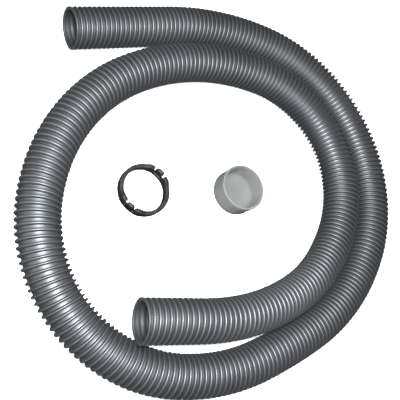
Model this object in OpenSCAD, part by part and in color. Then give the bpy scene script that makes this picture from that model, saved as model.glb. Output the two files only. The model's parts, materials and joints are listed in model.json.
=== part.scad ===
// Suction hose kit for a pool cleaner: a spiral-ribbed hose lying in a loose flat coil,
// a lock collar with two latch tongues, and a soft cup, both lying loose inside the coil.
// Millimetres. +Z is up, the table is at z = 0 and the origin is at the middle of the coil.
// +X points along the inner end of the hose, away from its open mouth.

/* [Hose] */
// Outer diameter of the hose over its ribs
hose_od = 45; // [44:0.5:45]
// Bore of the two cut ends, which push onto a 38 mm spigot
hose_bore = 38; // [37:0.5:39]
// Plain wall that carries the same material as the thin ribbed wall
hose_wall = 2.4; // [2:0.1:2.8]
// Length of the straight stretch at each cut end
hose_end_len = 45; // [40:1:60]
// Height that the inner end is raised by, where it rests on the outer pass
inner_end_rise = 31; // [30:1:36]

/* [Lock collar] */
// Outer diameter of the collar
collar_od = 57.4; // [57:0.2:58]
// Wall thickness of the collar
collar_wall = 4.4; // [4:0.1:4.6]
// Height of the plain rim
collar_h = 10; // [9.5:0.5:11]
// Height of the thickened shoulders beside each latch
shoulder_h = 12.5; // [12:0.5:13.5]
// Width of each latch tongue
tongue_w = 10; // [9:0.5:10.5]
// Thickness of a tongue below its head
tongue_t = 2.4; // [2.2:0.1:2.6]
// Width of the slot on each side of a tongue
slot_w = 2.6; // [2.2:0.2:2.8]
// Height above the table where a tongue's flexing root is
tongue_root_z = 4.5; // [4:0.5:5]
// Height of the tongue's head above the table
head_top_z = 14.5; // [14:0.5:15.5]
// Distance that the head stands out from the collar's wall
head_reach = 0.8; // [0.6:0.1:1.2]

/* [Cup] */
// Outer diameter of the cup
cup_od = 53; // [52:0.5:54]
// Height of the cup
cup_h = 27; // [26:0.5:28]
// Inner diameter at the cup's mouth
cup_mouth_d = 48.8; // [48.4:0.2:49.2]
// Thickness of the cup's floor
cup_floor = 3; // [2.5:0.5:3.5]

/* [Hidden] */
$fn = 96;

hose_r = hose_od / 2;
bore_r = hose_bore / 2;

// Route of the hose from its inner mouth outwards, turning left all the way.
// A row is [radius of the turn, degrees of the turn], and a row with radius 0 is [0, straight length].
route = [[0, 61], [295, 28], [165, 45], [132, 96], [244, 43], [199, 52], [155, 91],
         [228, 25], [614, 7], [218, 36], [180, 107], [300, 25], [0, 122]];
// Where the route starts: [x, y, heading in degrees]
route_start = [-121, -149, 0];
// Distance along the hose over which the raised inner end comes down to the table
rise_len = 300;
// Clearance between the inner end and the rest of the hose, which lets the end be lifted
flex_gap = 0.35;
// Rings along the swept tube, and sides of each ring
coil_rings = 78;
coil_sides = 16;

collar_at = [-96, -6, 0];
collar_ro = collar_od / 2;
collar_ri = collar_ro - collar_wall;
rim_chamfer = 0.5;
// Direction of the right-hand latch, seen from above; the other is opposite
latch_azimuth = 50;
window_w = tongue_w + 2 * slot_w;
shoulder_sweep = 74;
shoulder_proud = 0.3;
shoulder_inset = 0.3;
shoulder_from_z = 3;
// Clearance that lets a tongue flex at its root
root_gap = 0.35;
tongue_inset = 0.2;
tongue_sweep = 2 * asin(tongue_w / 2 / collar_ro);
head_from_z = 9;
head_ramp = 1.2;
head_top_chamfer = 1.2;

cup_at = [18, 3, 0];
cup_r = cup_od / 2;
cup_mouth_r = cup_mouth_d / 2;
cup_base_fillet = 4;
cup_rim_round = 0.8;
// Inner fillet between the cup's floor and its wall
cup_inner_fillet = 6;
// The bore steps in by this much at each of these heights, downwards from the mouth
cup_step = 0.4;
cup_step_z = [21, 14];

// ---- the hose's route ----

function row_len(row) = row[0] == 0 ? row[1] : row[0] * row[1] * PI / 180;

// The pose [x, y, heading] after going distance d along one row from a pose
function along_row(pose, row, d) =
    row[0] == 0
    ? [pose[0] + d * cos(pose[2]), pose[1] + d * sin(pose[2]), pose[2]]
    : let (heading = pose[2] + d / row[0] * 180 / PI)
      [pose[0] + row[0] * (sin(heading) - sin(pose[2])),
       pose[1] - row[0] * (cos(heading) - cos(pose[2])),
       heading];

// The pose at distance s along the whole route
function pose_at(s, i = 0, pose = route_start) =
    let (l = row_len(route[i]))
    s <= l || i == len(route) - 1
    ? along_row(pose, route[i], s)
    : pose_at(s - l, i + 1, along_row(pose, route[i], l));

function total(list, i = 0) = i == len(list) ? 0 : list[i] + total(list, i + 1);
route_len = total([for (row = route) row_len(row)]);

// Height of the centreline: raised at the inner end, then down a smooth ramp to the table
function ramp(s) = max(0, min(1, (rise_len - s) / (rise_len - hose_end_len)));
function centre_z(s) = hose_r + inner_end_rise * pow(ramp(s), 2) * (3 - 2 * ramp(s));
function slope(s) = atan((centre_z(s + 0.5) - centre_z(s - 0.5)) / 1);

// One ring of points of radius r, square to the route at distance s
function ring(s, r) =
    let (pose = pose_at(s), tilt = slope(s))
    [for (k = [0 : coil_sides - 1])
        let (side = r * cos(360 * k / coil_sides), up = r * sin(360 * k / coil_sides))
        [pose[0] - side * sin(pose[2]) - up * sin(tilt) * cos(pose[2]),
         pose[1] + side * cos(pose[2]) - up * sin(tilt) * sin(pose[2]),
         centre_z(s) + up * cos(tilt)]];

// Faces of a closed hollow tube whose outer rings come first and whose inner rings follow
function tube_faces(rings, n) =
    let (inner = rings * n, last = (rings - 1) * n)
    [for (i = [0 : rings - 2], k = [0 : n - 1]) let (m = (k + 1) % n)
        each [[i * n + k, i * n + m, (i + 1) * n + m, (i + 1) * n + k],
              [inner + i * n + m, inner + i * n + k,
               inner + (i + 1) * n + k, inner + (i + 1) * n + m]],
     for (k = [0 : n - 1]) let (m = (k + 1) % n)
        each [[m, k, inner + k, inner + m],
              [last + k, last + m, inner + last + m, inner + last + k]]];

// ---- the hose ----

module hose_end(pose, z) {
    translate([pose[0], pose[1], z])
        rotate([0, 90, pose[2]])
            difference() {
                cylinder(h = hose_end_len, r = hose_r);
                translate([0, 0, -1]) cylinder(h = hose_end_len + 2, r = bore_r);
            }
}

module hose_inner_end() {
    color("slategray") hose_end(route_start, hose_r + inner_end_rise);
}

module hose_outer_end() {
    color("slategray") hose_end(pose_at(route_len - hose_end_len), hose_r);
}

module hose_coil() {
    first = hose_end_len + flex_gap;
    span = route_len - hose_end_len - first;
    stations = [for (i = [0 : coil_rings - 1]) first + span * i / (coil_rings - 1)];
    color("gray")
        polyhedron(
            points = [for (r = [hose_r, hose_r - hose_wall], s = stations) each ring(s, r)],
            faces = tube_faces(coil_rings, coil_sides),
            convexity = 10);
}

// ---- the lock collar ----

module collar_ring() {
    c = rim_chamfer;
    color("dimgray") translate(collar_at)
        difference() {
            union() {
                rotate_extrude()
                    polygon([[collar_ri + c, 0], [collar_ro - c, 0], [collar_ro, c],
                             [collar_ro, collar_h - c], [collar_ro - c, collar_h],
                             [collar_ri + c, collar_h], [collar_ri, collar_h - c], [collar_ri, c]]);
                for (turn = [0, 180])
                    rotate([0, 0, latch_azimuth + turn - shoulder_sweep / 2])
                        rotate_extrude(angle = shoulder_sweep)
                            shoulder_section();
            }
            for (turn = [0, 180])
                rotate([0, 0, latch_azimuth + turn])
                    translate([collar_ri - 2, -window_w / 2, tongue_root_z])
                        cube([collar_wall + 4, window_w, shoulder_h]);
        }
}

module shoulder_section() {
    inner = collar_ri + shoulder_inset;
    outer = collar_ro + shoulder_proud;
    c = rim_chamfer;
    polygon([[inner, shoulder_from_z], [outer, shoulder_from_z], [outer, shoulder_h - c],
             [outer - c, shoulder_h], [inner + c, shoulder_h], [inner, shoulder_h - c]]);
}

module latch(turn) {
    inner = collar_ri + tongue_inset;
    outer = collar_ro - tongue_inset;
    tip = collar_ro + head_reach;
    root = outer - tongue_t;
    translate(collar_at)
        rotate([0, 0, latch_azimuth + turn - tongue_sweep / 2])
            rotate_extrude(angle = tongue_sweep)
                polygon([[root, tongue_root_z + root_gap], [outer, tongue_root_z + root_gap],
                         [outer, head_from_z], [tip, head_from_z + head_ramp],
                         [tip, head_top_z - head_top_chamfer], [tip - head_top_chamfer, head_top_z],
                         [inner, head_top_z], [inner, head_from_z + head_ramp], [root, head_from_z]]);
}

module collar_latch_right() {
    color("black") latch(0);
}

module collar_latch_left() {
    color("black") latch(180);
}

// ---- the cup ----

// Points of an arc in the profile, as [radius, height]
function arc(centre, r, from, to, steps = 6) =
    [for (i = [0 : steps]) let (a = from + (to - from) * i / steps)
        centre + r * [cos(a), sin(a)]];

module cup() {
    low_r = cup_mouth_r - 2 * cup_step;
    mid_r = cup_mouth_r - cup_step;
    f = cup_inner_fillet;
    color("gainsboro") translate(cup_at)
        rotate_extrude()
            polygon(concat(
                [[0, 0]],
                arc([cup_r - cup_base_fillet, cup_base_fillet], cup_base_fillet, -90, 0),
                arc([cup_r - cup_rim_round, cup_h - cup_rim_round], cup_rim_round, 0, 90, 3),
                [[cup_mouth_r + 0.4, cup_h], [cup_mouth_r, cup_h - 0.4],
                 [cup_mouth_r, cup_step_z[0] + cup_step], [mid_r, cup_step_z[0]],
                 [mid_r, cup_step_z[1] + cup_step], [low_r, cup_step_z[1]]],
                arc([low_r - f, cup_floor + f], f, 0, -90),
                [[0, cup_floor]]));
}

hose_inner_end();
hose_coil();
hose_outer_end();
collar_ring();
collar_latch_right();
collar_latch_left();
cup();
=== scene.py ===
"""Looks of a pool cleaner's suction hose kit: a ribbed hose in a loose coil, a lock collar and a soft cup.

Metres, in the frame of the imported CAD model: +Z up, the table at z = 0, the origin under the coil's middle.
"""
import json
import math

import bmesh
import bpy
import numpy as np
from mathutils import Matrix, Vector


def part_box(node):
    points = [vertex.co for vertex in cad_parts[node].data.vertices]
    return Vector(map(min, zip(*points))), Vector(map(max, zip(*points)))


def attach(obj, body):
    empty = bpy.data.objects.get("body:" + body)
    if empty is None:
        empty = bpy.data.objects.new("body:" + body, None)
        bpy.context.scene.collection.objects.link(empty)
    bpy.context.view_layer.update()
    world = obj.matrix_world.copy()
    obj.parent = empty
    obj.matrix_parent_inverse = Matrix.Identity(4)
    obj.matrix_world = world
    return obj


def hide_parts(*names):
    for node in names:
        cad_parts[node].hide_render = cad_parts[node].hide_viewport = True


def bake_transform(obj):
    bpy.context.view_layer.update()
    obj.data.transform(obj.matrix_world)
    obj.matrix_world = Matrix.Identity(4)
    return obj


MM = 0.001

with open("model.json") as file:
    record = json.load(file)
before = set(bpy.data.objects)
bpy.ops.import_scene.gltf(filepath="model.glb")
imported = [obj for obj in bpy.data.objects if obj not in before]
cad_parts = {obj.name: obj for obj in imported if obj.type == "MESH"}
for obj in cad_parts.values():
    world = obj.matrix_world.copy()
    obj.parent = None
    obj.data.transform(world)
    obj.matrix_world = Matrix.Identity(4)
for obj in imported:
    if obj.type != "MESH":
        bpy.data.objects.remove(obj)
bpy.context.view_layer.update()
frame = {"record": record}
mounts = {mount["name"]: mount for mount in frame["record"]["mounts"]}

# ---- camera ----

CAMERA_AIM = Vector((-0.0252, -0.0091, 0.0))
CAMERA_DISTANCE = 0.6752
CAMERA_TILT = 31.609        # degrees off the vertical
CAMERA_AZIMUTH = 210.87     # degrees from +X towards +Y, of the way from the aim to the camera
CAMERA_ROLL = -2.371        # degrees
CAMERA_VIEW_ANGLE = 37.29   # degrees across the square picture


def camera_axes():
    """The camera's right, up and back directions."""
    tilt, azimuth, roll = (math.radians(a) for a in (CAMERA_TILT, CAMERA_AZIMUTH, CAMERA_ROLL))
    back = Vector((math.sin(tilt) * math.cos(azimuth), math.sin(tilt) * math.sin(azimuth), math.cos(tilt)))
    level_up = (Vector((0, 1, 0)) - back * back.y).normalized()
    level_right = level_up.cross(back)
    right = level_right * math.cos(roll) + level_up * math.sin(roll)
    return right, back.cross(right), back


def make_camera():
    data = bpy.data.cameras.new("camera")
    data.sensor_width = 36
    data.angle = math.radians(CAMERA_VIEW_ANGLE)
    data.clip_start, data.clip_end = 0.01, 50
    camera = bpy.data.objects.new("camera", data)
    bpy.context.scene.collection.objects.link(camera)
    right, up, back = camera_axes()
    rotation = Matrix((right, up, back)).transposed()
    camera.matrix_world = Matrix.Translation(CAMERA_AIM + back * CAMERA_DISTANCE) @ rotation.to_4x4()
    bpy.context.scene.camera = camera


make_camera()

# ---- small helpers ----


def smoothstep(x):
    x = np.clip(x, 0, 1)
    return x * x * (3 - 2 * x)


def finished(mesh, smooth=True, merge=0.0):
    """A new object with this mesh, its close points merged and its normals outward."""
    shaper = bmesh.new()
    shaper.from_mesh(mesh)
    if merge:
        bmesh.ops.remove_doubles(shaper, verts=shaper.verts, dist=merge)
    bmesh.ops.recalc_face_normals(shaper, faces=shaper.faces)
    shaper.to_mesh(mesh)
    shaper.free()
    mesh.polygons.foreach_set("use_smooth", [smooth] * len(mesh.polygons))
    mesh.update()
    piece = bpy.data.objects.new(mesh.name, mesh)
    bpy.context.scene.collection.objects.link(piece)
    return piece


def mesh_object(name, points, faces, smooth=True):
    mesh = bpy.data.meshes.new(name)
    mesh.from_pydata([tuple(p) for p in points], [], [tuple(int(i) for i in f) for f in faces])
    return finished(mesh, smooth)


def arc(x, z, radius, begin, finish, steps):
    """Points of an arc round (x, z), from one angle to another in degrees."""
    angles = np.radians(np.linspace(begin, finish, steps + 1))
    return [(x + radius * math.cos(a), z + radius * math.sin(a)) for a in angles]


def grid_faces(rows, columns):
    """Quads between rows of points, where each row is a ring of this many points."""
    i, k = np.meshgrid(np.arange(rows - 1), np.arange(columns), indexing="ij")
    i, k = i.ravel(), k.ravel()
    following = (k + 1) % columns
    here, beyond = i * columns, (i + 1) * columns
    return np.stack((here + k, beyond + k, beyond + following, here + following), 1)


# ---- the hose ----

# The route of part.scad: (radius of the left turn, degrees of the turn), or (0, straight length)
ROUTE = ((0, 0.061), (0.295, 28), (0.165, 45), (0.132, 96), (0.244, 43), (0.199, 52), (0.155, 91),
         (0.228, 25), (0.614, 7), (0.218, 36), (0.180, 107), (0.300, 25), (0, 0.122))
ROUTE_START = (-0.121, -0.149, 0.0)   # x, y and heading
ROUTE_LENGTH = sum(radius * math.radians(amount) if radius else amount for radius, amount in ROUTE)
RISE_LENGTH = 0.300   # the raised inner end comes down to the table over this length
END_LENGTH = 0.045    # the straight stretch at each end

HOSE_R = (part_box("hose_outer_end")[1].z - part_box("hose_outer_end")[0].z) / 2
BORE_R = mounts["hose_inner_mouth"]["dims"]["r_mm"] * MM
END_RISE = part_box("hose_inner_end")[0].z
RIB_DEPTH = 3.2 * MM             # outside, from the crest of a rib to the floor of the groove
THROAT_R = BORE_R + 0.05 * MM    # inside, under the grooves
INNER_DEPTH = 0.6 * MM           # depth of the ribs seen from inside
MIDDLE_R = HOSE_R - 4.2 * MM     # inside, away from the mouths

# Distance between two ribs, measured along the hose, at distances from the inner mouth
PITCH_AT = (0, 0.09, 0.16, 0.24, 0.31, 0.55, 0.92, 1.05, 1.20, 1.36, 1.50, 1.72, 1.85, ROUTE_LENGTH)
PITCH_MM = (5.5, 5.7, 6.2, 6.35, 5.95, 5.8, 6.08, 6.0, 5.65, 5.65, 6.0, 5.9, 5.62, 5.55)
# The spacing wavers: (share of the pitch, radians per metre of hose, starting angle)
PITCH_WAVES = ((0.012, 61, 0), (0.010, 137, 1))
RIB_SAMPLES = 20001
BEYOND = 0.020        # the ribs are counted from this far before the inner mouth to this far past the outer
SPARE_RIBS = 2        # the outer strip starts and ends this many ribs past the cut faces

SIDES = 28            # points round the hose
# Points across a rib with a round crest and a flat-floored groove: (share of the pitch, height)
RIB = ((0.04, 1), (0.13, 0.88), (0.20, 0.62), (0.27, 0.05), (0.5, 0), (0.73, 0.05), (0.80, 0.62),
       (0.87, 0.88), (0.96, 1))
CORNERS = (3, 5)      # the points of RIB where the crest's walls meet the groove's floor
CUT = 0.4 * MM        # the ribs run up to here from the cut face
CUFF = 2.2 * MM       # the groove gets its depth over this length
LIP_RINGS_OUTSIDE = 3       # of the rings over a mouth's lip, those that face outwards
INNER_START = 1.0 * MM      # the inner wall starts this far from the cut face, past the lip
INNER_CUFF = 4 * MM         # the inner ribs get their depth over this length
INNER_FINE = 0.085          # the inside shows its ribs for this far from each mouth
INNER_FINE_STEP = 5.8 * MM / 5   # five rings to a rib
INNER_STEP = 20 * MM        # between the rings of the plain middle
INNER_BLEND = 12 * MM       # the ribbed inside turns into the plain middle over this length
FLEX_FROM, FLEX_TO = 0.018, 0.078   # the stretch near the inner end over which place_hose works out each point's share
PATH_POINTS = 420


def route_pose(s):
    """x, y and heading of the centreline at the distances s along it."""
    s = np.asarray(s, float)
    x, y, heading = (np.full(s.shape, value) for value in ROUTE_START)
    begun = 0.0
    for radius, amount in ROUTE:
        length = radius * math.radians(amount) if radius else amount
        gone = np.clip(s - begun, 0, length)
        if radius:
            turned = heading + gone / radius
            x = x + radius * (np.sin(turned) - np.sin(heading))
            y = y - radius * (np.cos(turned) - np.cos(heading))
            heading = turned
        else:
            x = x + gone * np.cos(heading)
            y = y + gone * np.sin(heading)
        begun += length
    return x, y, heading


def centre_height(s):
    """Height of the centreline: raised at the inner end, then down a smooth ramp to the table."""
    raised = smoothstep((RISE_LENGTH - np.asarray(s, float)) / (RISE_LENGTH - END_LENGTH))
    return HOSE_R + END_RISE * raised


def hose_points(s, angle, radius):
    """Points at distance s along the hose, at an angle from its top towards its left side."""
    s, angle, radius = np.broadcast_arrays(np.asarray(s, float), angle, radius)
    x, y, heading = route_pose(s)
    half_step = 0.5 * MM
    tilt = np.arctan((centre_height(s + half_step) - centre_height(s - half_step)) / (2 * half_step))
    left, up = radius * np.sin(angle), radius * np.cos(angle)
    return np.stack([x - left * np.sin(heading) - up * np.sin(tilt) * np.cos(heading),
                     y + left * np.cos(heading) - up * np.sin(tilt) * np.sin(heading),
                     centre_height(s) + up * np.cos(tilt)], -1)


def make_ribs():
    """The helix of the ribs, as the distances along the hose and the turns that it has made there."""
    s = np.linspace(-BEYOND, ROUTE_LENGTH + BEYOND, RIB_SAMPLES)
    pitch = np.interp(s, PITCH_AT, PITCH_MM) * MM
    waver = sum((share * np.sin(s * rate + start) for share, rate, start in PITCH_WAVES), 1)
    turns = np.cumsum((s[1] - s[0]) / (pitch * waver))
    return s, turns - np.interp(0, s, turns)


def rib_height(turns):
    """Height of the wall across one rib, from 1 at its crest, at whole turns, to 0 at the groove's floor."""
    shares, heights = zip(*RIB)
    return np.interp(turns, shares, heights, period=1)


def from_end(s):
    """Distance to the nearer mouth."""
    return np.minimum(s, ROUTE_LENGTH - s)


def outer_wall(ribs):
    """The ribbed wall as one strip that winds along the hose, so that its edges follow the ribs.

    Returns the points' distances along the hose, angles, radii, rib heights and whether they are on
    a groove's corner, and the strip's faces.
    A row's last point is joined to the first point of the row one rib further on. The strip starts
    and ends past the cut faces, where its points are pulled back onto them and later merged.
    """
    steps = len(RIB)
    rows = (int(np.interp(ROUTE_LENGTH, *ribs)) + 2 * SPARE_RIBS) * steps
    row, side = (a.ravel() for a in np.meshgrid(np.arange(rows), np.arange(SIDES), indexing="ij"))
    shares, heights = (np.array(column)[row % steps] for column in zip(*RIB))
    s = np.interp(row // steps + shares - SPARE_RIBS + side / SIDES, ribs[1], ribs[0])
    s = np.clip(s, CUT, ROUTE_LENGTH - CUT)
    depth = (1 - heights) * smoothstep((from_end(s) - CUT) / CUFF)
    angle = 2 * math.pi * side / SIDES
    corner = np.isin(row % steps, CORNERS)

    quads = np.array([(i * SIDES + k, (i + 1) * SIDES + k, (i + 1) * SIDES + k + 1, i * SIDES + k + 1)
                      for i in range(rows - 1) for k in range(SIDES - 1)])
    seam = np.array([(i * SIDES + SIDES - 1, (i + 1) * SIDES + SIDES - 1,
                      (i + steps + 1) * SIDES, (i + steps) * SIDES) for i in range(rows - 1 - steps)])
    return s, angle, HOSE_R - RIB_DEPTH * depth, 1 - depth, corner, np.concatenate([quads, seam])


def lip_rings():
    """(distance from the cut face, radius) of the rings over a mouth's lip, from outside to inside."""
    return ((CUT, HOSE_R), (0.12 * MM, HOSE_R - 0.12 * MM), (0, HOSE_R - 0.4 * MM),
            (0, THROAT_R + 0.5 * MM), (0.15 * MM, THROAT_R + 0.15 * MM), (0.5 * MM, THROAT_R))


def inner_stations():
    """Distances of the inner wall's rings: close together near the mouths, wide apart between."""
    fine = np.arange(INNER_START, INNER_FINE, INNER_FINE_STEP)
    rings = int((ROUTE_LENGTH - 2 * INNER_FINE) / INNER_STEP)
    middle = np.linspace(INNER_FINE, ROUTE_LENGTH - INNER_FINE, rings)
    return np.concatenate([fine, middle, ROUTE_LENGTH - fine[::-1]])


def inner_wall(ribs):
    """The lips and the inner wall as rings; returns what outer_wall does."""
    ring_angle = 2 * math.pi * np.arange(SIDES) / SIDES
    rings = [(d, np.full(SIDES, r), 1.0) for d, r in lip_rings()]
    for station in inner_stations():
        near = float(from_end(station))
        phase = np.interp(station, *ribs) - ring_angle / (2 * math.pi)
        rib = rib_height(phase) * smoothstep((near - INNER_START) / INNER_CUFF)
        middle = smoothstep((near - INNER_FINE + INNER_BLEND) / INNER_BLEND)
        rings.append((station, (THROAT_R + INNER_DEPTH * rib) * (1 - middle) + MIDDLE_R * middle, rib))
    rings += [(ROUTE_LENGTH - d, np.full(SIDES, r), 1.0) for d, r in reversed(lip_rings())]
    s = np.repeat([ring[0] for ring in rings], SIDES)
    radius = np.concatenate([ring[1] for ring in rings])
    height = np.concatenate([np.full(SIDES, 1.0) * ring[2] for ring in rings])
    corner = np.zeros(len(s), bool)
    return s, np.tile(ring_angle, len(rings)), radius, height, corner, grid_faces(len(rings), SIDES)


def point_values(piece, name):
    values = np.zeros(len(piece.data.vertices), np.float32)
    piece.data.attributes[name].data.foreach_get("value", values)
    return values


def make_hose():
    """The hose as one closed wall.

    Its points keep their distance along it, their rib height and whether they are inside a mouth. The
    edges between the crests' walls and the grooves' floors are sharp.
    """
    ribs = make_ribs()
    outer, inner = outer_wall(ribs), inner_wall(ribs)
    s, angle, radius, height, corner = (np.concatenate([outer[i], inner[i]]) for i in range(5))
    mesh = bpy.data.meshes.new("suction_hose")
    faces = np.concatenate([outer[5], inner[5] + len(outer[0])])
    mesh.from_pydata(hose_points(s, angle, radius), [], faces)
    number, lip = np.arange(len(s)), LIP_RINGS_OUTSIDE * SIDES
    inside = (number >= len(outer[0]) + lip) & (number < len(s) - lip)
    for name, values in (("along", s), ("rib_height", height), ("corner", corner), ("inside", inside)):
        mesh.attributes.new(name, "FLOAT", "POINT").data.foreach_set("value", values.astype(np.float32))
    hose = finished(mesh, merge=1e-6)
    ends = np.zeros(len(mesh.edges) * 2, np.int32)
    mesh.edges.foreach_get("vertices", ends)
    sharp = (point_values(hose, "corner")[ends.reshape(-1, 2)] > 0.5).all(1)
    mesh.attributes.new("sharp_edge", "BOOLEAN", "EDGE").data.foreach_set("value", sharp)
    mesh.attributes.remove(mesh.attributes["corner"])
    return hose


def place_hose(hose):
    path = hose_points(np.linspace(0, ROUTE_LENGTH, PATH_POINTS), 0, 0)
    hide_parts("hose_inner_end", "hose_coil", "hose_outer_end")
    bend_start, bend_end = hose_points([FLEX_FROM, FLEX_TO], 0, 0)
    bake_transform(hose)
    # Other passes of the coil lie beside the inner end, so a point's share goes by its place along the hose
    share = smoothstep((point_values(hose, "along") - FLEX_FROM) / (FLEX_TO - FLEX_FROM))


hose = make_hose()
place_hose(hose)

# ---- the lock collar ----

collar_low, collar_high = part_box("collar_ring")
COLLAR_AT = Vector(((collar_low.x + collar_high.x) / 2, (collar_low.y + collar_high.y) / 2, 0))
LATCH_AZIMUTH = 50.0          # degrees; the other latch is opposite
COLLAR_RI = mounts["collar_bore"]["dims"]["r_mm"] * MM
COLLAR_RO = 28.7 * MM
COLLAR_H = 10 * MM
EDGE_R = 0.6 * MM             # radius of the ring's four edges
SHOULDER_H = collar_high.z
SHOULDER_SWEEP = 74.0         # degrees
SHOULDER_FADE = 14.0          # degrees over which a shoulder sinks into the ring
SHOULDER_RUN_OUT = 4.0        # degrees that it reaches past its sweep
SHOULDER_INSET = 0.15 * MM
SHOULDER_PROUD = 0.3 * MM
SLOT_BOTTOM = 4.5 * MM
SLOT_W = 2.6 * MM
CORNER_DROP = 0.5 * MM        # a shoulder's corner at a slot is rounded down by this much
CORNER_SWEEP = 0.8            # degrees over which it is
TONGUE_W = 10 * MM
TONGUE_T = 2.4 * MM
TONGUE_INSET = 0.25 * MM      # from the ring's outer and inner faces
ROOT_OVERLAP = 0.35 * MM      # a tongue starts this far below the slots' floor
HEAD_FROM = 9.0 * MM
HEAD_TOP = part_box("collar_latch_right")[1].z
HEAD_REACH = 0.8 * MM
HEAD_DOME = 2.6 * MM
HEAD_CHIN = 1.1 * MM          # height over which the head spreads from the tongue
# Degrees from the middle of a latch to the far side of its slots
WINDOW = math.degrees((TONGUE_W / 2 + SLOT_W) / COLLAR_RO)


def ring_top(degrees):
    """Height of the ring's top edge this far round from a latch, and the share of a shoulder's thickness."""
    if degrees <= WINDOW:
        return SLOT_BOTTOM, 0.0
    share = float(smoothstep((SHOULDER_SWEEP / 2 + SHOULDER_RUN_OUT - degrees) / SHOULDER_FADE))
    corner = CORNER_DROP * max(0.0, 1 - (degrees - WINDOW) / CORNER_SWEEP) ** 2
    return COLLAR_H + (SHOULDER_H - COLLAR_H) * share - corner, share


def rounded_section(inner, outer, low, high, radius):
    """(radius, height) round a rectangle with round corners."""
    steps = 3
    return (arc(outer - radius, low + radius, radius, -90, 0, steps)
            + arc(outer - radius, high - radius, radius, 0, 90, steps)
            + arc(inner + radius, high - radius, radius, 90, 180, steps)
            + arc(inner + radius, low + radius, radius, 180, 270, steps))


def swept(section, degrees, at):
    """A section of (radius, height) stood up at this many degrees round an upright axis."""
    turn = math.radians(degrees)
    return [at + Vector((x * math.cos(turn), x * math.sin(turn), z)) for x, z in section]


def make_collar_ring():
    """One closed band whose top edge follows the shoulders and drops into the two windows."""
    quarter = [0, WINDOW / 2, WINDOW, WINDOW + 0.02, WINDOW + 0.3, WINDOW + CORNER_SWEEP]
    quarter += list(np.linspace(WINDOW + 2, 90, 32))
    half = [-degrees for degrees in reversed(quarter[1:])] + quarter
    rows = []
    for turn in (0, 180):
        for degrees in half[1:]:
            top, share = ring_top(abs(degrees))
            inner, outer = COLLAR_RI + SHOULDER_INSET * share, COLLAR_RO + SHOULDER_PROUD * share
            section = rounded_section(inner, outer, 0, top, EDGE_R)
            rows.append(swept(section, LATCH_AZIMUTH + turn + degrees, COLLAR_AT))
    columns = len(rows[0])
    faces = grid_faces(len(rows) + 1, columns) % (len(rows) * columns)
    return mesh_object("collar_ring_band", [point for row in rows for point in row], faces)


def make_latch(name, turn):
    """A flexing tongue that carries a domed, hooked head; the head's sides and corners are round."""
    inner, outer, tip = COLLAR_RI + TONGUE_INSET, COLLAR_RO - TONGUE_INSET, COLLAR_RO + HEAD_REACH
    root, chin = SLOT_BOTTOM - ROOT_OVERLAP, HEAD_FROM + HEAD_CHIN
    middle, reach = (inner + tip) / 2, (tip - inner) / 2
    shaft = [(outer - TONGUE_T, root), (outer, root), (outer, HEAD_FROM)]
    head = [(middle + reach * 0.97, chin)]
    for a in np.radians(range(0, 181, 18)):
        head.append((middle + reach * math.cos(a), HEAD_TOP - HEAD_DOME + HEAD_DOME * math.sin(a)))
    head += [(middle - reach * 0.97, chin), (outer - TONGUE_T, HEAD_FROM)]
    rows = []
    for across in (-1, -0.97, -0.9, -0.78, -0.6, -0.35, 0, 0.35, 0.6, 0.78, 0.9, 0.97, 1):
        narrow, lower = 1 - 0.45 * across ** 6, 1 - 0.5 * across ** 6
        rounded = [(middle + (x - middle) * narrow, HEAD_FROM + (z - HEAD_FROM) * lower) for x, z in head]
        degrees = across * math.degrees(TONGUE_W / 2 / COLLAR_RO)
        rows.append(swept(shaft + rounded, LATCH_AZIMUTH + turn + degrees, COLLAR_AT))
    columns = len(rows[0])
    faces = [tuple(quad) for quad in grid_faces(len(rows), columns)]
    faces += [tuple(range(columns)), tuple(range((len(rows) - 1) * columns, len(rows) * columns))]
    return mesh_object(name, [point for row in rows for point in row], faces)


collar_band = make_collar_ring()
latch_right = make_latch("latch_right_tongue", 0)
latch_left = make_latch("latch_left_tongue", 180)
for piece, node, body in ((collar_band, "collar_ring", "collar"),
                          (latch_right, "collar_latch_right", "latch_right"),
                          (latch_left, "collar_latch_left", "latch_left")):
    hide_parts(node)
    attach(piece, body)

# ---- the cup ----

cup_low, cup_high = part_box("cup")
CUP_AT = Vector(((cup_low.x + cup_high.x) / 2, (cup_low.y + cup_high.y) / 2, 0))
CUP_R = (cup_high.x - cup_low.x) / 2
CUP_H = cup_high.z
CUP_MOUTH_R = mounts["cup_mouth"]["dims"]["r_mm"] * MM
CUP_FLOOR = 3 * MM
CUP_BASE_R = 4 * MM           # radius of the edge round the base
CUP_RIM_R = 0.8 * MM
CUP_MOUTH_EDGE_R = 0.5 * MM
CUP_INNER_R = 6 * MM          # radius where the floor meets the wall
CUP_STEP = 0.4 * MM           # the bore steps in by this much at each of the heights
CUP_STEP_AT = (21, 14)        # millimetres, from the mouth down
CUP_OVAL = 0.008              # share that the rim is out of round
CUP_OVAL_TURN = 0.9           # radians
CUP_SIDES = 128


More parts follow.
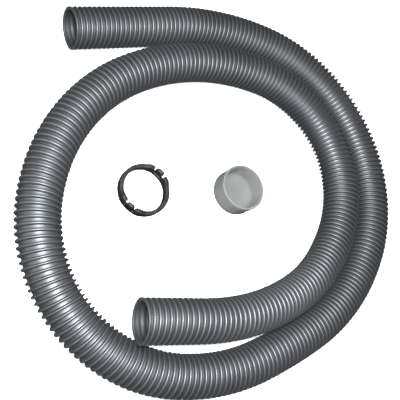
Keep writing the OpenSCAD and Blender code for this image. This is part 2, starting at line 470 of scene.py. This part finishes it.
def cup_profile():
    """(radius, height) from the base's middle, round the outside and the rim, to the floor's middle."""
    profile = [(6 * MM, 0.0), (14 * MM, 0.0)]
    profile += arc(CUP_R - CUP_BASE_R, CUP_BASE_R, CUP_BASE_R, -90, 0, 8)
    profile += [(CUP_R - 0.25 * MM, z * MM) for z in (8, 12, 16)]
    profile += [(CUP_R - 0.1 * MM, 20 * MM), (CUP_R, 23 * MM)]
    profile += arc(CUP_R - CUP_RIM_R, CUP_H - CUP_RIM_R, CUP_RIM_R, 0, 90, 4)
    profile += arc(CUP_MOUTH_R + CUP_MOUTH_EDGE_R, CUP_H - CUP_MOUTH_EDGE_R, CUP_MOUTH_EDGE_R, 90, 180, 4)
    r = CUP_MOUTH_R
    for z in CUP_STEP_AT:
        profile += [(r, (z + 0.9) * MM), (r - 0.05 * MM, (z + 0.5) * MM), (r - 0.35 * MM, (z + 0.1) * MM),
                    (r - CUP_STEP, (z - 0.4) * MM)]
        r -= CUP_STEP
    profile += arc(r - CUP_INNER_R, CUP_FLOOR + CUP_INNER_R, CUP_INNER_R, 0, -90, 8)
    profile += [(12 * MM, CUP_FLOOR), (6 * MM, CUP_FLOOR)]
    return profile


def make_cup():
    profile = cup_profile()
    angles = 2 * math.pi * np.arange(CUP_SIDES) / CUP_SIDES
    points = []
    for r, z in profile:
        oval = r * (1 + CUP_OVAL * (z / CUP_H) * np.cos(2 * angles + CUP_OVAL_TURN))
        ring = np.stack([oval * np.cos(angles), oval * np.sin(angles), np.full(CUP_SIDES, z)], 1)
        points.append(ring + np.array(CUP_AT))
    points = np.concatenate(points)
    faces = [tuple(q) for q in grid_faces(len(profile), CUP_SIDES)]
    faces.append(tuple(range(CUP_SIDES)))
    faces.append(tuple(range((len(profile) - 1) * CUP_SIDES, len(profile) * CUP_SIDES)))
    return mesh_object("soft_cup", points, faces)


cup = make_cup()
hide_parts("cup")
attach(cup, "cup")

# ---- materials ----


class Nodes:
    """A new material with a Principled shader, and short calls to add nodes to it."""

    def __init__(self, name):
        self.material = bpy.data.materials.new(name)
        self.material.use_nodes = True
        self.tree = self.material.node_tree
        self.shader = self.tree.nodes["Principled BSDF"]

    def add(self, kind, **settings):
        node = self.tree.nodes.new("ShaderNode" + kind)
        for name, value in settings.items():
            setattr(node, name, value)
        return node

    def link(self, output, target):
        self.tree.links.new(output, target)

    def set(self, **sockets):
        """Sets the shader's own sockets, named with _ for a space."""
        for name, value in sockets.items():
            self.shader.inputs[name.replace("_", " ")].default_value = value

    def noise(self, scale, detail, stretch=None):
        where = self.add("TexCoord").outputs["Object"]
        if stretch:
            mapping = self.add("Mapping")
            mapping.inputs["Scale"].default_value = stretch
            self.link(where, mapping.inputs["Vector"])
            where = mapping.outputs["Vector"]
        noise = self.add("TexNoise")
        noise.inputs["Scale"].default_value = scale
        noise.inputs["Detail"].default_value = detail
        self.link(where, noise.inputs["Vector"])
        return noise.outputs["Fac"]

    def ramp(self, value, *stops):
        """A colour ramp over a value; each stop is (position, grey or colour)."""
        ramp = self.add("ValToRGB")
        elements = ramp.color_ramp.elements
        while len(elements) < len(stops):
            elements.new(0.5)
        for element, (position, colour) in zip(elements, stops):
            colour = (colour,) * 3 if isinstance(colour, (int, float)) else colour
            element.position, element.color = position, (*colour, 1)
        self.link(value, ramp.inputs["Fac"])
        return ramp.outputs["Color"]

    def multiply(self, first, second):
        """The product of two colours. Sockets 6, 7 and 2 are a Mix node's two colours and its result."""
        node = self.add("Mix", data_type="RGBA", blend_type="MULTIPLY")
        node.inputs["Factor"].default_value = 1.0
        self.link(first, node.inputs[6])
        self.link(second, node.inputs[7])
        return node.outputs[2]

    def bump(self, height, strength, distance):
        bump = self.add("Bump")
        bump.inputs["Strength"].default_value = strength
        bump.inputs["Distance"].default_value = distance
        self.link(height, bump.inputs["Height"])
        self.link(bump.outputs["Normal"], self.shader.inputs["Normal"])

    def range(self, value, low, high):
        """A value from 0 to 1, spread from low to high."""
        spread = self.add("MapRange")
        spread.inputs["To Min"].default_value = low
        spread.inputs["To Max"].default_value = high
        self.link(value, spread.inputs["Value"])
        return spread.outputs["Result"]


def hose_plastic():
    """Silver-grey plastic: metallic pigment under a satin skin, with painted shade in the grooves and inside
    the bore, and a fine grain.
    """
    m = Nodes("hose_plastic")
    rib = m.add("Attribute", attribute_name="rib_height").outputs["Fac"]
    inside = m.add("Attribute", attribute_name="inside").outputs["Fac"]
    # Painted shade: the base colour darkens from the crests of the ribs to the floors of the grooves
    colour = m.ramp(rib, (0.0, (0.122, 0.131, 0.140)), (0.5, (0.152, 0.162, 0.173)),
                    (1.0, (0.188, 0.200, 0.212)))
    clouds = m.ramp(m.noise(14, 4), (0.3, 0.82), (0.7, 1.0))
    grain = m.ramp(m.noise(900, 2), (0.3, 0.86), (0.7, 1.0))
    # Painted shade: the base colour is darkened to 0.6 inside the bore
    shade = m.ramp(inside, (0.0, 1.0), (1.0, 0.6))
    for layer in (clouds, grain, shade):
        colour = m.multiply(colour, layer)
    m.link(colour, m.shader.inputs["Base Color"])
    m.link(m.range(inside, 0.55, 0.68), m.shader.inputs["Roughness"])
    m.set(Metallic=0.9, Coat_Weight=0.25, Coat_Roughness=0.34)
    m.bump(m.noise(1400, 3), 0.25, 0.12 * MM)
    return m.material


def collar_plastic():
    """Black moulded plastic with a fine grain and a trace of grey scuffing."""
    m = Nodes("collar_plastic")
    scuff = m.ramp(m.noise(260, 6), (0.35, (0.010, 0.010, 0.011)), (0.62, (0.018, 0.018, 0.019)),
                   (0.8, (0.035, 0.035, 0.037)))
    m.link(scuff, m.shader.inputs["Base Color"])
    m.link(m.range(m.noise(120, 4), 0.42, 0.60), m.shader.inputs["Roughness"])
    m.set(Specular_IOR_Level=0.35)
    m.bump(m.noise(2200, 2), 0.3, 0.08 * MM)
    return m.material


def cup_plastic():
    """Milky, soft, slightly translucent plastic with faint flow marks."""
    m = Nodes("cup_plastic")
    flow = m.ramp(m.noise(45, 3, (1, 1, 0.25)), (0.3, (0.165, 0.174, 0.173)), (0.7, (0.195, 0.205, 0.204)))
    m.link(flow, m.shader.inputs["Base Color"])
    m.link(m.range(m.noise(90, 3), 0.50, 0.64), m.shader.inputs["Roughness"])
    m.set(Subsurface_Weight=1.0, Subsurface_Radius=(12 * MM,) * 3, Subsurface_Scale=1.0,
          Specular_IOR_Level=0.25)
    m.bump(m.noise(500, 3), 0.12, 0.2 * MM)
    return m.material


def floor_paint():
    """White paint that gives off a little light, so that it stays white under the dim lights."""
    m = Nodes("floor_paint")
    m.link(m.ramp(m.noise(3, 2), (0.3, 0.90), (0.7, 0.92)), m.shader.inputs["Base Color"])
    m.set(Roughness=0.9, Emission_Color=(1, 1, 1, 1), Emission_Strength=0.42)
    return m.material


for piece, material in ((hose, hose_plastic()), (cup, cup_plastic())):
    piece.data.materials.append(material)
black = collar_plastic()
for piece in (collar_band, latch_right, latch_left):
    piece.data.materials.append(black)

# ---- floor, light and world ----


def make_floor():
    half = 4.0
    floor = mesh_object("floor", [(-half, -half, 0), (half, -half, 0), (half, half, 0), (-half, half, 0)],
                        [(0, 1, 2, 3)], smooth=False)
    floor.data.materials.append(floor_paint())
    # Hidden from reflections, so that it doesn't light the pieces from below
    floor.visible_glossy = floor.visible_diffuse = False


def area_light(name, place, size, watts):
    """A round light that faces the middle of the view."""
    data = bpy.data.lights.new(name, "AREA")
    data.shape, data.size, data.energy = "DISK", size, watts
    light = bpy.data.objects.new(name, data)
    bpy.context.scene.collection.objects.link(light)
    light.location = place
    light.rotation_mode = "QUATERNION"
    light.rotation_quaternion = (CAMERA_AIM - place).to_track_quat("-Z", "Y")


def make_lights():
    """A small light beside the camera, a soft one on the left and a faint one behind the coil."""
    right, up, back = camera_axes()
    camera_at = CAMERA_AIM + back * CAMERA_DISTANCE
    area_light("flash", camera_at + right * 0.03 + up * 0.06 + back * 0.02, size=0.16, watts=14)
    area_light("left_fill", CAMERA_AIM - right * 1.1 + back * 0.9, size=0.9, watts=5)
    behind = Vector((-back.x, -back.y, 0)).normalized()
    area_light("back_fill", CAMERA_AIM + behind * 1.3 + Vector((0, 0, 0.8)), size=1.2, watts=2)


def make_world(seen, shed):
    """A white world that the camera sees at one strength and that lights the pieces with another."""
    world = bpy.data.worlds.new("studio")
    world.use_nodes = True
    nodes, links = world.node_tree.nodes, world.node_tree.links
    strength = nodes.new("ShaderNodeMapRange")
    strength.inputs["To Min"].default_value = shed
    strength.inputs["To Max"].default_value = seen
    links.new(nodes.new("ShaderNodeLightPath").outputs["Is Camera Ray"], strength.inputs["Value"])
    background = nodes["Background"]
    background.inputs["Color"].default_value = (1, 1, 1, 1)
    links.new(strength.outputs["Result"], background.inputs["Strength"])
    bpy.context.scene.world = world


make_floor()
make_lights()
make_world(seen=0.8, shed=0.10)
bpy.context.scene.view_settings.view_transform = "Standard"
